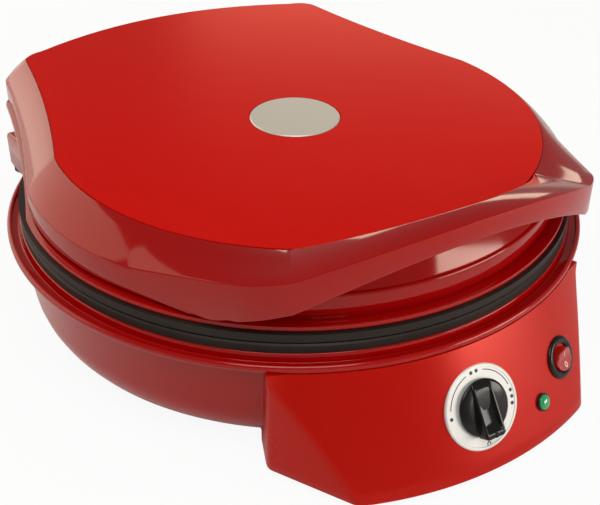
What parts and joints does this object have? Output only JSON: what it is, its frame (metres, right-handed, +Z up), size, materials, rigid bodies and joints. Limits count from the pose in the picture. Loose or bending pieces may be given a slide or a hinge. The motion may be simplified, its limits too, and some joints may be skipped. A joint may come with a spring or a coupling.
{
  "type": "electric pizza maker",
  "caption": "Round red countertop pizza maker with a hinged lid, an arched front handle, two round baking plates and a sloped control panel with knob, rocker switch and lamp.",
  "frame": {"origin": "middle of the whole object on the surface it stands on", "axes": "+Z up, the control panel and the handle face -Y, +X to the right of someone who faces the panel"},
  "size_m": [0.3299, 0.4369, 0.1348],
  "materials": {
    "red_gloss": "deep red gloss moulding",
    "red_satin": "bright red satin lacquer",
    "brushed_silver": "fine brushed, satin",
    "nonstick_plate": "die-cast with dark non-stick coating",
    "bright_sheet": "bright rolled sheet",
    "element_steel": "dull heater sheath",
    "zinc_steel": "zinc-plated",
    "hinge_black": "black lacquer",
    "rubber": "matt",
    "matte_black": "fine grain",
    "gloss_black": "polished",
    "white_mark": "printed line",
    "ceramic": "pressed resin and ceramic",
    "white_plastic": "nylon",
    "green_lens": "clear green lens",
    "red_lens": "clear red rocker"
  },
  "bodies": {
    "base": {"base_shell": "red_gloss", "bottom_cover": "matte_black", "foot_front_left": "rubber", "foot_front_right": "rubber", "foot_rear_left": "rubber", "foot_rear_right": "rubber", "lower_heat_shield": "bright_sheet", "lower_element": "element_steel", "lower_plate": "nonstick_plate", "lower_plate_posts": "zinc_steel", "lower_plate_screws": "zinc_steel", "thermostat": "ceramic", "thermal_fuse": "white_plastic", "terminal_block": "white_plastic", "cord_gland": "matte_black", "dial_plate": "brushed_silver", "switch_body": "gloss_black", "lamp_body": "gloss_black", "lamp_lens": "green_lens", "hinge_ear_left": "hinge_black", "hinge_ear_right": "hinge_black", "hinge_pin_left": "zinc_steel", "hinge_pin_right": "zinc_steel"},
    "lid": {"lid_shell": "red_gloss", "lid_top_plate": "red_satin", "lid_disc": "brushed_silver", "upper_heat_shield": "bright_sheet", "upper_element": "element_steel", "upper_plate": "nonstick_plate", "upper_plate_screws": "zinc_steel", "lid_arm_left": "hinge_black", "lid_arm_right": "hinge_black"},
    "knob": {"knob": "gloss_black", "knob_pointer": "white_mark", "thermostat_spindle": "zinc_steel"},
    "rocker": {"rocker": "red_lens"}
  },
  "joints": [
    {"name": "lid_hinge", "type": "hinge", "parent": "base", "child": "lid", "pos_m": [0, 0.16943, 0.073], "axis": [-1, 0, 0], "range_deg": [0, 105]},
    {"name": "knob_turn", "type": "hinge", "parent": "base", "child": "knob", "pos_m": [0, -0.19645, 0.034], "axis": [0, 0.899, -0.438], "range_deg": [0, 265]},
    {"name": "rocker_tilt", "type": "hinge", "parent": "base", "child": "rocker", "pos_m": [0.05826, -0.18299, 0.03205], "axis": [-0.9432, -0.3322, 0], "range_deg": [0, 16]}
  ]
}
